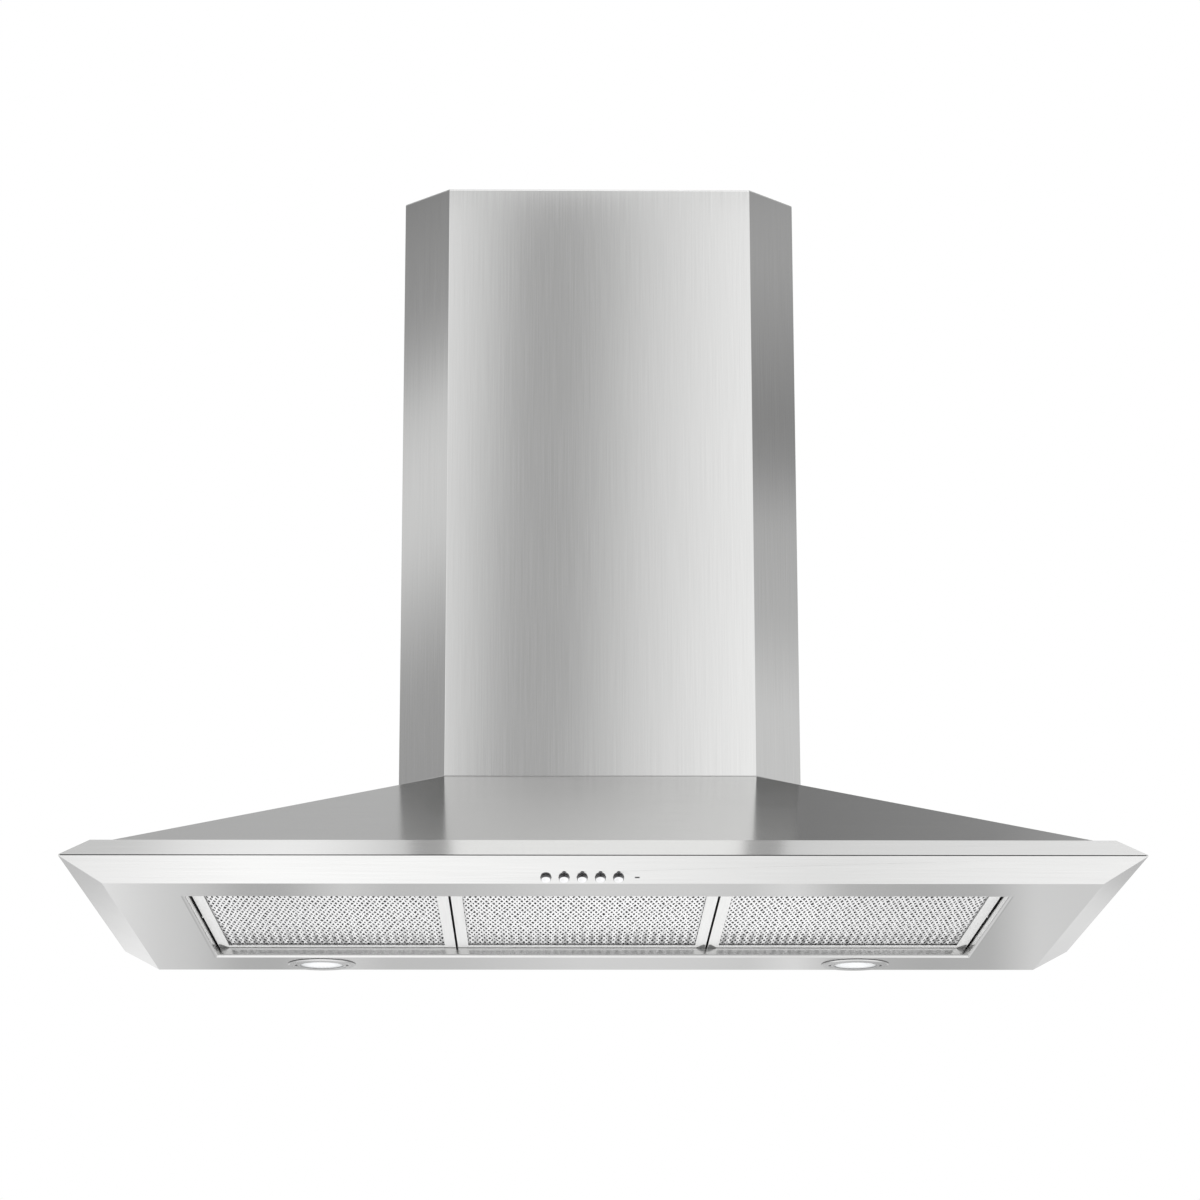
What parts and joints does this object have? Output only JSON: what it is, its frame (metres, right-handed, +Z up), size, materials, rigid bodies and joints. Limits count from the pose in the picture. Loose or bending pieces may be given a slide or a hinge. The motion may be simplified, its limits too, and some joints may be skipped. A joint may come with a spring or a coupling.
{
  "type": "canopy range hood",
  "caption": "Wall-mounted stainless steel range hood with a low pyramid canopy, octagonal telescopic flue, push buttons, lamps, hinged mesh filters and an internal blower.",
  "frame": {"origin": "on the wall face, at the middle of the hood's width and level with its underside", "axes": "+X to the right as seen by someone who faces the wall, +Y into the wall, so the front faces -Y, +Z up"},
  "size_m": [0.9, 0.5, 0.6865],
  "materials": {
    "stainless": "brushed satin stainless steel",
    "galvanised": "matt galvanised sheet",
    "guide_nylon": "white nylon",
    "screw_steel": "plated steel",
    "blower_plastic": "black moulded plastic",
    "motor_can": "grey painted steel",
    "shaft_steel": "ground steel",
    "flap_plastic": "light grey moulded plastic",
    "bush_rubber": "black rubber",
    "box_plastic": "white moulded plastic",
    "capacitor_case": "white plastic can",
    "driver_case": "black potted case",
    "switch_plastic": "black moulded plastic",
    "board_green": "green board",
    "indicator_lens": "dark smoked lens, unlit",
    "button_metal": "bright metal caps",
    "bezel_metal": "satin ring",
    "frosted_glass": "frosted glass",
    "lamp_capsule": "clear capsule and pale base",
    "filter_aluminium": "bright aluminium channel",
    "filter_mesh": "expanded aluminium mesh in layers",
    "latch_steel": "bright pressed steel",
    "spring_steel": "spring wire"
  },
  "bodies": {
    "hood": {"canopy_shell": "stainless", "underside_pan": "stainless", "back_panel": "galvanised", "top_plate": "galvanised", "lower_flue_cover": "stainless", "flue_guides": "guide_nylon", "air_box": "galvanised", "air_box_front": "galvanised", "air_box_screws": "screw_steel", "blower_housing_left": "blower_plastic", "blower_housing_right": "blower_plastic", "blower_screws": "screw_steel", "motor": "motor_can", "motor_bracket": "galvanised", "outlet_collar": "blower_plastic", "collar_screws": "screw_steel", "cable_bush": "bush_rubber", "control_box": "box_plastic", "control_box_lid": "box_plastic", "capacitor": "capacitor_case", "capacitor_clip": "galvanised", "lamp_driver": "driver_case", "switch_housing": "switch_plastic", "switch_board": "board_green", "push_switches": "switch_plastic", "indicator_lenses": "indicator_lens", "lamp_bezel_left": "bezel_metal", "lamp_bezel_right": "bezel_metal", "lamp_glass_left": "frosted_glass", "lamp_glass_right": "frosted_glass", "lamp_cup_left": "galvanised", "lamp_cup_right": "galvanised", "lamp_bulb_left": "lamp_capsule", "lamp_bulb_right": "lamp_capsule"},
    "upper_flue": {"upper_flue_cover": "stainless", "upper_flue_bracket": "galvanised", "upper_flue_screws": "screw_steel"},
    "impeller": {"impeller": "blower_plastic", "impeller_ring_right": "blower_plastic", "motor_shaft": "shaft_steel", "impeller_nut": "screw_steel"},
    "damper_front": {"damper_flap_front": "flap_plastic"},
    "damper_back": {"damper_flap_back": "flap_plastic"},
    "button_1": {"button_1": "button_metal"},
    "button_2": {"button_2": "button_metal"},
    "button_3": {"button_3": "button_metal"},
    "button_4": {"button_4": "button_metal"},
    "button_5": {"button_5": "button_metal"},
    "filter_left": {"filter_frame_left": "filter_aluminium", "filter_mesh_left": "filter_mesh", "latch_spring_left": "spring_steel"},
    "latch_left": {"filter_latch_left": "latch_steel"},
    "filter_middle": {"filter_frame_middle": "filter_aluminium", "filter_mesh_middle": "filter_mesh", "latch_spring_middle": "spring_steel"},
    "latch_middle": {"filter_latch_middle": "latch_steel"},
    "filter_right": {"filter_frame_right": "filter_aluminium", "filter_mesh_right": "filter_mesh", "latch_spring_right": "spring_steel"},
    "latch_right": {"filter_latch_right": "latch_steel"}
  },
  "joints": [
    {"name": "upper_flue_slide", "type": "slide", "parent": "hood", "child": "upper_flue", "axis": [0, 0, 1], "range_m": [0, 0.4]},
    {"name": "button_1_press", "type": "slide", "parent": "hood", "child": "button_1", "axis": [0, 0.4706, 0.8824], "range_m": [0, 0.002], "stiffness_N_per_m": 400, "springref_m": -0.002},
    {"name": "button_2_press", "type": "slide", "parent": "hood", "child": "button_2", "axis": [0, 0.4706, 0.8824], "range_m": [0, 0.002], "stiffness_N_per_m": 400, "springref_m": -0.002},
    {"name": "button_3_press", "type": "slide", "parent": "hood", "child": "button_3", "axis": [0, 0.4706, 0.8824], "range_m": [0, 0.002], "stiffness_N_per_m": 400, "springref_m": -0.002},
    {"name": "button_4_press", "type": "slide", "parent": "hood", "child": "button_4", "axis": [0, 0.4706, 0.8824], "range_m": [0, 0.002], "stiffness_N_per_m": 400, "springref_m": -0.002},
    {"name": "button_5_press", "type": "slide", "parent": "hood", "child": "button_5", "axis": [0, 0.4706, 0.8824], "range_m": [0, 0.002], "stiffness_N_per_m": 400, "springref_m": -0.002},
    {"name": "filter_left_swing", "type": "hinge", "parent": "hood", "child": "filter_left", "pos_m": [-0.24275, -0.0745, 0.01], "axis": [1, 0, 0], "range_deg": [0, 50]},
    {"name": "latch_left_pull", "type": "slide", "parent": "filter_left", "child": "latch_left", "axis": [0, 1, 0], "range_m": [0, 0.006], "stiffness_N_per_m": 500, "springref_m": -0.004, "deforming": ["latch_spring_left"]},
    {"name": "filter_middle_swing", "type": "hinge", "parent": "hood", "child": "filter_middle", "pos_m": [-0.015, -0.0745, 0.01], "axis": [1, 0, 0], "range_deg": [0, 50]},
    {"name": "latch_middle_pull", "type": "slide", "parent": "filter_middle", "child": "latch_middle", "axis": [0, 1, 0], "range_m": [0, 0.006], "stiffness_N_per_m": 500, "springref_m": -0.004, "deforming": ["latch_spring_middle"]},
    {"name": "filter_right_swing", "type": "hinge", "parent": "hood", "child": "filter_right", "pos_m": [0.2235, -0.0745, 0.01], "axis": [1, 0, 0], "range_deg": [0, 50]},
    {"name": "latch_right_pull", "type": "slide", "parent": "filter_right", "child": "latch_right", "axis": [0, 1, 0], "range_m": [0, 0.006], "stiffness_N_per_m": 500, "springref_m": -0.004, "deforming": ["latch_spring_right"]},
    {"name": "impeller_spin", "type": "hinge", "parent": "hood", "child": "impeller", "pos_m": [0, -0.105, 0.2472], "axis": [1, 0, 0], "continuous": true},
    {"name": "damper_front_swing", "type": "hinge", "parent": "hood", "child": "damper_front", "pos_m": [0, -0.164, 0.425], "axis": [-1, 0, 0], "range_deg": [0, 75]},
    {"name": "damper_back_swing", "type": "hinge", "parent": "hood", "child": "damper_back", "pos_m": [0, -0.156, 0.425], "axis": [1, 0, 0], "range_deg": [0, 75]}
  ]
}
